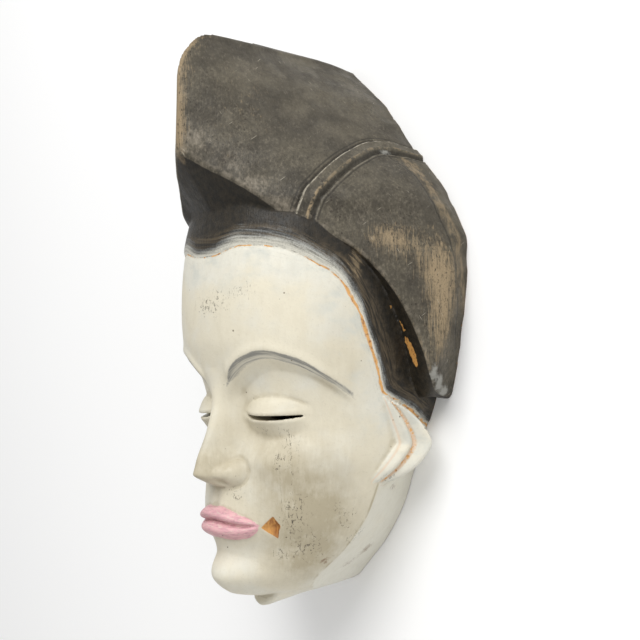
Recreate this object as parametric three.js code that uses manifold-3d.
// A white-faced crested dance mask, carved from one block of light wood.
//
// Frame, in millimetres: +X is the mask's own left, +Y runs up to the crest and +Z out of the
// face. The flat rear rim lies on z = 0, so the mask rests on its back with the face upwards.

import * as THREE from "three";
import { mergeVertices } from "three/addons/utils/BufferGeometryUtils.js";
import Module from "manifold-3d";

const wasm = await Module();
wasm.setup();

// Driving sizes

const CROWN_Y = 162.5;
const CHIN_Y = -155;
const COLLAR_Y = -162.5;
const CREST_DEPTH = 127;
const FACE_THIRD = 65.5;
const BROW_Y = -23.5;
const NOSE_BASE_Y = BROW_Y - FACE_THIRD;
const EYE_X = 30;
const EYE_Y = -52;
const MOUTH_Y = NOSE_BASE_Y - FACE_THIRD / 3;
const HOLLOW_DEPTH = 80;
const SMALLEST_EDGE = 0.2;
const RIGHT_ANGLE = Math.PI / 2;

// Small maths

const clamp = (value, low, high) => Math.min(high, Math.max(low, value));
const mix = (from, to, share) => from + (to - from) * share;

// 0 below the low edge, 1 above the high edge, smooth between them.
function ramp(value, low, high) {
  const t = clamp((value - low) / (high - low), 0, 1);
  return t * t * (3 - 2 * t);
}

// A round swelling of height 1, centred at (cx, cy), that reaches 0 at its half-sizes.
function dome(x, y, cx, cy, halfX, halfY) {
  const reach = ((x - cx) / halfX) ** 2 + ((y - cy) / halfY) ** 2;
  return reach < 1 ? (1 - reach) ** 1.5 : 0;
}

// A smooth curve through [station, value] pairs that never overshoots them.
function profile(pairs) {
  const last = pairs.length - 1;
  const slope = pairs.slice(1).map((pair, i) => (pair[1] - pairs[i][1]) / (pair[0] - pairs[i][0]));
  const tangent = pairs.map((pair, i) => {
    if (i === 0) return slope[0];
    if (i === last) return slope[last - 1];
    const product = slope[i - 1] * slope[i];
    return product > 0 ? (2 * product) / (slope[i - 1] + slope[i]) : 0;
  });
  return (station) => {
    const s = clamp(station, pairs[0][0], pairs[last][0]);
    let i = 0;
    while (i < last - 1 && s > pairs[i + 1][0]) i += 1;
    const span = pairs[i + 1][0] - pairs[i][0];
    const t = (s - pairs[i][0]) / span;
    const rise = pairs[i][1] * (1 + 2 * t) * (1 - t) ** 2 + pairs[i + 1][1] * t * t * (3 - 2 * t);
    return rise + span * (tangent[i] * t * (1 - t) ** 2 - tangent[i + 1] * t * t * (1 - t));
  };
}

// Stations from low to high, closer together where the spacing function is small.
function stations(low, high, spacing) {
  const list = [low];
  while (list.at(-1) < high) list.push(list.at(-1) + spacing(list.at(-1)));
  const stretch = (high - low) / (list.at(-1) - low);
  return list.map((value) => low + (value - low) * stretch);
}

// A spacing function from [height, step] pairs, where each step holds below its height.
const spacingOf = (pairs) => (y) => pairs.find(([top]) => y < top)[1];

// Solids

// Closed skin through equal rings of points, with a flat fan at both ends.
function solid(rings) {
  const count = rings[0].length;
  const positions = rings.flat().flatMap((point) => point);
  const index = [];
  for (let r = 0; r < rings.length - 1; r += 1) {
    for (let i = 0; i < count; i += 1) {
      const j = (i + 1) % count;
      const corners = [r * count + i, r * count + j, (r + 1) * count + j, (r + 1) * count + i];
      index.push(corners[0], corners[1], corners[2], corners[0], corners[2], corners[3]);
    }
  }
  for (const [ring, flipped] of [[0, true], [rings.length - 1, false]]) {
    const centre = positions.length / 3;
    const sum = rings[ring].reduce((a, p) => [a[0] + p[0], a[1] + p[1], a[2] + p[2]], [0, 0, 0]);
    positions.push(sum[0] / count, sum[1] / count, sum[2] / count);
    for (let i = 0; i < count; i += 1) {
      const a = ring * count + i;
      const b = ring * count + ((i + 1) % count);
      index.push(...(flipped ? [centre, b, a] : [centre, a, b]));
    }
  }
  const geometry = new THREE.BufferGeometry();
  geometry.setAttribute("position", new THREE.Float32BufferAttribute(positions, 3));
  geometry.setIndex(index);
  return manifoldOf(geometry);
}

function manifoldOf(geometry) {
  const merged = mergeVertices(geometry, 1e-4);
  const mesh = new wasm.Mesh({
    numProp: 3,
    vertProperties: new Float32Array(merged.attributes.position.array),
    triVerts: new Uint32Array(merged.index.array),
  });
  const made = new wasm.Manifold(mesh);
  return made.volume() < 0 ? turnedInsideOut(mesh) : made;
}

function turnedInsideOut(mesh) {
  const triVerts = mesh.triVerts.map((value, i, all) => all[i - (i % 3) + (2 - (i % 3))]);
  return new wasm.Manifold(new wasm.Mesh({ numProp: 3, vertProperties: mesh.vertProperties, triVerts }));
}

function meshOf(name, form, material) {
  const made = form.getMesh();
  const geometry = new THREE.BufferGeometry();
  geometry.setAttribute("position", new THREE.Float32BufferAttribute(made.vertProperties, 3));
  geometry.setIndex(new THREE.Uint32BufferAttribute(made.triVerts, 1));
  geometry.computeVertexNormals();
  const mesh = new THREE.Mesh(geometry, material);
  mesh.name = name;
  return mesh;
}

// Section across the mask at one height: from the left rim up a leaning side plane, then over the
// front on a superellipse and down to the right rim, with a corner kept where the two meet. It
// starts a little below the rim plane, which one flat cut trims at the end.
const SINK = 3;
const FIRST_ANGLE = 0.04;
const LAST_ANGLE = RIGHT_ANGLE - 0.01;
const HALVINGS = 30;

function arch(y, form, sideSteps, frontSteps, crowding) {
  const { half, depth, power, rim, lean } = form;
  const place = (angle) => [half * Math.cos(angle) ** (2 / power), depth * Math.sin(angle) ** (2 / power)];
  const outside = ([x, z]) => x > rim + lean * z;
  let low = FIRST_ANGLE;
  let high = LAST_ANGLE;
  for (let i = 0; i < HALVINGS; i += 1) {
    const middle = (low + high) / 2;
    if (outside(place(middle))) low = middle;
    else high = middle;
  }
  const corner = place(low);
  const left = [];
  for (let i = 0; i < sideSteps; i += 1) {
    const t = i / sideSteps;
    left.push([mix(rim - lean * SINK, corner[0], t), y, mix(-SINK, corner[1], t)]);
  }
  for (let i = 0; i <= frontSteps; i += 1) {
    const [x, z] = place(mix(low, RIGHT_ANGLE, 1 - (1 - i / frontSteps) ** crowding));
    left.push([i === frontSteps ? 0 : x, y, z]);
  }
  const right = left.slice(0, -1).reverse();
  return [...left, ...right.map(([x, level, z]) => [-x, level, z])];
}

// The coiffure: a crest with a blade-like front, spreading into a lobe over each temple

const HAIR_FOOT_Y = -60;
const SIDE_LEAN = 0.28;
const hairHalf = profile([
  [-42, 97], [-25, 101.5], [-5, 103], [15, 103.5], [31, 103], [44, 100], [65, 91],
  [79, 80], [100, 60], [133, 32], [150, 14], [158, 5.5], [161, 3.5], [CROWN_Y, 1],
]);
const rimHalf = profile([
  [-42, 84], [-30, 87.5], [-5, 92.5], [22, 96], [44, 96], [54, 92], [65, 85.5],
  [79, 77], [92, 65], [107, 52], [133, 32], [150, 14], [158, 4], [CROWN_Y, 1],
]);
const crestDepth = profile([
  [90, CREST_DEPTH], [132, CREST_DEPTH], [143, 125], [152, 119.5], [158.5, 112.5], [161.5, 104], [CROWN_Y, 92],
]);
const SIDE_STEPS = 2;
const FRONT_STEPS = 18;
const HAIR_CROWDING = 1.1;
const hairSpacing = spacingOf([[40, 9], [90, 7], [138, 8.5], [154, 4.5], [Infinity, 2.2]]);
const hairPower = profile([[-42, 1.9], [-25, 1.6], [-5, 1.43], [10, 1.36], [30, 1.32], [55, 1.34], [64, 1.42]]);

function hairSection(y) {
  const form = {
    half: hairHalf(y), depth: crestDepth(y), power: hairPower(y), rim: rimHalf(y), lean: SIDE_LEAN,
  };
  return arch(y, form, SIDE_STEPS, FRONT_STEPS, HAIR_CROWDING);
}

function coiffure() {
  return solid(stations(HAIR_FOOT_Y, CROWN_Y, hairSpacing).map(hairSection));
}

// Everything in front of and below the hood's edge is cut away. Seen from the axis of the mask
// the edge climbs from the lobe tips to the peak over the forehead.
const edgeHeight = profile([
  [0, -45], [4, -43], [11.7, -36.5], [16.8, -25.5], [19.4, -14], [22.4, -2.3], [25.4, 7.7],
  [28.2, 15.1], [32.3, 24], [38.8, 34], [43.6, 40], [48.4, 45], [53.6, 50.5], [57.9, 53.6],
  [62.5, 57], [69.4, 63.5], [73.6, 69.4], [79.3, 77.2], [84.2, 83.4], [90, 91.5],
]);
const edgeRadius = profile([
  [0, 86], [4, 86], [11.7, 93], [16.8, 98.6], [22.4, 97.2], [28.2, 95], [32.5, 94.2], [41, 93.3],
  [48.5, 93.8], [58.3, 96.2], [66, 103], [74, 109.2], [82.8, 119], [90, CREST_DEPTH],
]);
const underSlope = profile([[0, 4.5], [40, 4.5], [56, 1.5], [66, 0.9], [90, 0.74]]);

function hoodCutter() {
  const inner = 42;
  const outer = 160;
  const floor = -230;
  const steps = 60;
  const overlap = 8;
  const rings = Array.from({ length: steps + 1 }, (_, i) => {
    const angle = mix(-overlap, 180 + overlap, i / steps);
    const turn = (angle * Math.PI) / 180;
    const side = clamp(angle > 90 ? 180 - angle : angle, 0, 90);
    const height = (radius) => edgeHeight(side) + (radius - edgeRadius(side)) / underSlope(side);
    const place = (radius, y) => [radius * Math.cos(turn), y, radius * Math.sin(turn)];
    return [
      place(inner, floor), place(outer, floor), place(outer, height(outer)),
      place(edgeRadius(side), edgeHeight(side)), place(inner, height(inner)),
    ];
  });
  return solid(rings);
}

// The braid that crosses each side from the hood's edge to the rear outline

const BRAID_HALF_WIDTH = 4.6;
const BRAID_RISE = 1.8;

// Point of the left side of the coiffure at a height and a depth.
function hairPoint(y, z) {
  const share = 1 - (Math.max(z, 0) / crestDepth(y)) ** hairPower(y);
  const x = Math.min(hairHalf(y) * share ** (1 / hairPower(y)), rimHalf(y) + SIDE_LEAN * z);
  return new THREE.Vector3(x, y, z);
}

function hairNormal(y, z) {
  const up = hairPoint(y + 1, z).sub(hairPoint(y - 1, z));
  const forward = hairPoint(y, z + 1).sub(hairPoint(y, Math.max(z, 0.5) - 0.5));
  return up.cross(forward).normalize();
}

function braid(mirror) {
  const path = [
    [46, 83], [55.7, 80.5], [65.1, 78], [72.6, 71.5], [79.5, 64], [87, 54], [93, 43.5],
    [96.8, 35.5], [98.6, 28], [99, 21], [98.3, 12], [97.5, 4], [97, -5],
  ];
  const route = new THREE.CatmullRomCurve3(path.map(([y, z]) => hairPoint(y, z)));
  const steps = 18;
  const sides = 10;
  const rings = Array.from({ length: steps + 1 }, (_, i) => {
    const t = i / steps;
    const centre = route.getPointAt(t);
    const along = route.getTangentAt(t);
    const across = new THREE.Vector3().crossVectors(along, hairNormal(centre.y, centre.z)).normalize();
    const out = new THREE.Vector3().crossVectors(across, along).normalize();
    return Array.from({ length: sides }, (_, k) => {
      const turn = (2 * Math.PI * k) / sides;
      const point = centre.clone();
      point.addScaledVector(across, BRAID_HALF_WIDTH * Math.cos(turn));
      point.addScaledVector(out, BRAID_RISE * Math.sin(turn));
      return [mirror * point.x, point.y, point.z];
    });
  });
  return solid(rings);
}

// The head: a domed forehead narrowing to the chin, in three equal thirds

const headHalf = profile([
  [CHIN_Y, 15], [-150, 27], [-140, 39], [-125, 50.5], [-108, 60], [-88, 67.5], [-65, 72.5],
  [-43, 75], [-20, 76.5], [20, 77], [42, 76], [80, 70],
]);
const headDepth = profile([
  [CHIN_Y, 80], [-151, 89], [-140, 95], [-126, 93], [-111, 96.5], [-89, 95.5], [-70, 94.5],
  [-50, 96], [-38, 99], [BROW_Y, 104.5], [-10, 108], [10, 109.5], [42, 107], [60, 103], [80, 98],
]);
const headPower = profile([[CHIN_Y, 2], [-110, 2.05], [-60, 2.2], [0, 2.3]]);
const HEAD_TOP_Y = 72;
const HEAD_CROWDING = 1.25;
const JAW_LEAN = 0.34;
const headSpacing = spacingOf([[-130, 4.5], [-98, 3.2], [-78, 3], [-18, 3.6], [Infinity, 9]]);
const headRim = profile([
  [CHIN_Y, 3], [-145, 12], [-126, 31], [-107, 44.5], [-90, 52], [-59, 65.5], [-41, 73], [0, 77], [80, 70],
]);

// Arched line under each brow, and the slit between the lids
const browLine = profile([[8, -38], [16, -30], [28, -22], [38, -19.5], [50, -23], [60, -34], [64, -44]]);
const SLIT_HALF_LENGTH = 15;
const SLIT_HALF_HEIGHT = 1.1;
const lidLine = (x) => EYE_Y - 1.6 * (1 - ((x - EYE_X) / SLIT_HALF_LENGTH) ** 2);
const mouthLine = (x) => MOUTH_Y + 1.2 * Math.cos(x * 0.16) * (x < 24 ? 1 : 0.6);

function noseRise(x, y) {
  const height = profile([[NOSE_BASE_Y - 3, 0], [NOSE_BASE_Y, 10], [-84, 18.5], [-79, 18], [-60, 10.5], [-42, 4], [-26, 0]]);
  const half = profile([[-92, 9], [-84, 8], [-70, 7], [-48, 5.5], [-30, 8]]);
  const ridge = height(y) * Math.exp(-((Math.abs(x) / half(y)) ** 2.4));
  const wings = 8 * dome(x, y, 10, -83.5, 9, 9);
  return Math.max(ridge, wings, 0.7 * (ridge + wings));
}

function faceRise(signedX, y) {
  const x = Math.abs(signedX);
  const underBrow = ramp(browLine(x) - y, 0, 9) * ramp(y, -80, -60) * ramp(x, 5, 15) * (1 - ramp(x, 56, 68));
  const browRidge = 1.6 * Math.exp(-(((y - browLine(x) - 2) / 4.5) ** 2)) * ramp(x, 8, 14) * (1 - ramp(x, 58, 66));
  const lids = 8 * dome(x, y, EYE_X, EYE_Y, 19, 12.5);
  const barrel = 4 * dome(x, y, 0, MOUTH_Y + 4, 36, 27);
  const lipHalf = (reach) => Math.sqrt(clamp(1 - (x / reach) ** 2, 0, 1));
  const above = y - mouthLine(x);
  const upperLip = above >= 0 ? 5 * Math.sin(Math.PI * clamp(above / 9, 0, 1)) ** 0.8 * lipHalf(25) : 0;
  const lowerLip = above < 0 ? 5.6 * Math.sin(Math.PI * clamp(-above / 11, 0, 1)) ** 0.8 * lipHalf(23) : 0;
  const chin = 5 * dome(x, y, 0, -140, 25, 13);
  const cheek = 3.5 * dome(x, y, 44, -74, 22, 22);
  return -6.5 * underBrow + browRidge + lids + barrel + upperLip + lowerLip + chin + cheek + noseRise(x, y);
}

function head() {
  const rings = stations(CHIN_Y, HEAD_TOP_Y, headSpacing).map((y) => {
    const form = {
      half: headHalf(y), depth: headDepth(y), power: headPower(y), rim: headRim(y), lean: JAW_LEAN,
    };
    return arch(y, form, SIDE_STEPS, FRONT_STEPS, HEAD_CROWDING).map(([x, level, z]) => {
      const facing = ramp(z / form.depth, 0.35, 0.7);
      return [x, level, z + facing * faceRise(x, y)];
    });
  });
  return solid(rings);
}

// The collar: a skirt behind the jaw that carries the rim round below the chin

const COLLAR_DEPTH = 71;
const COLLAR_RISE = 9.5;

function collar() {
  const outline = profile([[0, 0], [8, 12], [17, 21.5], [27, 31], [38, 38.5], [53, 48], [78, 56]]);
  const reach = stations(0, 78, (distance) => (distance < 20 ? 3.5 : 9));
  const ring = (share, inset, pull) => {
    const foot = COLLAR_Y + COLLAR_RISE * (1 - share) + inset;
    const front = (distance) => share * (COLLAR_DEPTH - 0.5 * distance) - pull;
    const side = reach.map((distance) => [Math.max(0, outline(distance) - inset), foot + distance, front(distance)]);
    return [...side, ...side.slice(1).reverse().map(([x, y, z]) => [-x, y, z])];
  };
  return solid([ring(-SINK / COLLAR_DEPTH, 0, 0), ring(0.5, 0, 0), ring(1, 0, 4), ring(1, 1.2, 1.2), ring(1, 4, 0)]);
}

// Each ear is a chevron of two nested ribs, opening towards the face

function ear(mirror) {
  const top = new THREE.Vector3(70, -42, 37);
  const lower = new THREE.Vector3(65, -86, 33);
  const middle = new THREE.Vector3(67.5, -64, 35);
  const steps = 14;
  const ribs = [
    { tip: [73.5, -66, 38], lift: 0.5, pull: 0 },
    { tip: [78, -66, 35], lift: 3, pull: 0.12 },
    { tip: [78.5, -66.5, 28], lift: 2.6, pull: 0.36 },
    { tip: [77, -67, 26], lift: 0.8, pull: 0.44 },
    { tip: [84, -67, 23], lift: 4.4, pull: 0.56 },
    { tip: [86, -68, 16], lift: 4, pull: 0.86 },
    { tip: [78, -68, 8], lift: -1, pull: 1 },
    { tip: [56, -67, 10], lift: -14, pull: 1 },
    { tip: [54, -66, 36], lift: -14, pull: 0 },
  ];
  const rings = Array.from({ length: steps + 1 }, (_, i) => {
    const t = i / steps;
    const bend = 1 - Math.abs(2 * t - 1) ** 1.25;
    const spread = Math.sin(Math.PI * clamp(mix(0.1, 0.9, t), 0, 1));
    const base = new THREE.Vector3().lerpVectors(top, lower, t);
    return ribs.map(({ tip, lift, pull }) => {
      const away = new THREE.Vector3(...tip).sub(middle);
      const point = base.clone();
      point.x += away.x * bend + lift * (1 - bend) * spread;
      point.y += (tip[1] + 66) * bend + (0.5 - t) * 16 * pull;
      point.z += away.z * bend + (0 - 9 * pull) * (1 - bend);
      return [mirror * point.x, point.y, point.z];
    });
  });
  return solid(rings);
}

// The hollow behind the face, where the wearer's face goes

const HOLLOW_FOOT_Y = -137;
const HOLLOW_TOP_Y = 98;

function hollow() {
  const half = profile([
    [HOLLOW_FOOT_Y, 7], [-127, 18], [-107, 33], [-90, 40], [-59, 52], [-35, 58], [0, 62], [45, 62],
    [72, 52], [88, 37], [HOLLOW_TOP_Y, 14],
  ]);
  const depth = profile([
    [HOLLOW_FOOT_Y, 20], [-129, 40], [-115, 58], [-90, 72], [-50, 78], [0, HOLLOW_DEPTH], [50, 76],
    [78, 60], [93, 34], [HOLLOW_TOP_Y, 14],
  ]);
  const steps = 14;
  const angles = Array.from({ length: steps + 1 }, (_, i) => (Math.PI * i) / steps);
  const below = -6;
  const spacing = (y) => (y < -120 || y > 82 ? 6 : 13);
  const rings = stations(HOLLOW_FOOT_Y, HOLLOW_TOP_Y, spacing).map((y) => {
    const curve = angles.map((angle) => {
      const x = half(y) * Math.cos(angle);
      return [x, y, depth(y) * Math.sin(angle) ** 0.85];
    });
    return [[half(y), y, below], ...curve, [-half(y), y, below]];
  });
  return solid(rings);
}

// A pierced slit between the lids
function eyeSlit(mirror) {
  const steps = 10;
  const fullest = 0.97;
  const rim = (z) => {
    const across = Array.from({ length: steps + 1 }, (_, i) => EYE_X + SLIT_HALF_LENGTH * (1 - (2 * i) / steps));
    const reach = (x) => Math.min(fullest, ((x - EYE_X) / SLIT_HALF_LENGTH) ** 2);
    const gape = (x) => SLIT_HALF_HEIGHT * Math.sqrt(1 - reach(x));
    const upper = across.map((x) => [mirror * x, lidLine(x) + gape(x), z]);
    const lower = across.map((x) => [mirror * x, lidLine(x) - gape(x), z]).reverse();
    return [...upper, ...lower];
  };
  return solid([rim(HOLLOW_DEPTH / 2), rim(CREST_DEPTH)]);
}

// The angular chip at the left corner of the mouth
const CHIP_DEPTH = 3;

function chip() {
  const corner = [[25.6, -112.5], [31, -106], [33, -111.5], [30, -118.5]];
  const faceAt = [90.5, 94.5, 92, 90];
  const far = corner.map(([x, y]) => [x, y, CREST_DEPTH]);
  const near = corner.map(([x, y], i) => [x, y, faceAt[i] - CHIP_DEPTH]);
  return solid([near, far]);
}

// The whole block

const SIDES = [1, -1];
const union = (first, others) => others.reduce((sum, other) => sum.add(other), first);
const cut = (first, others) => others.reduce((rest, other) => rest.subtract(other), first);

const hair = union(coiffure(), SIDES.map(braid)).subtract(hoodCutter());
const solidBlock = union(hair, [head(), collar(), ...SIDES.map(ear)]);
const carved = cut(solidBlock, [hollow(), chip(), ...SIDES.map(eyeSlit)]);

// The flat cut that leaves the rear rim on z = 0
const [sawWidth, sawHeight, sawDepth] = [400, 500, 40];
const belowRim = new THREE.BoxGeometry(sawWidth, sawHeight, sawDepth).toNonIndexed();
belowRim.translate(0, 0, -sawDepth / 2);
belowRim.deleteAttribute("normal");
belowRim.deleteAttribute("uv");
// Slivers of space sealed between the joined shapes are wood, so only the outer skin is kept.
const skins = carved.subtract(manifoldOf(belowRim)).simplify(SMALLEST_EDGE).decompose();
const block = skins.reduce((largest, skin) => (skin.volume() > largest.volume() ? skin : largest));

const paintedWood = new THREE.MeshStandardMaterial({ color: 0xd8cfba, roughness: 0.62, metalness: 0 });

const mask = new THREE.Group();
mask.add(meshOf("mask", block, paintedWood));

export default mask;
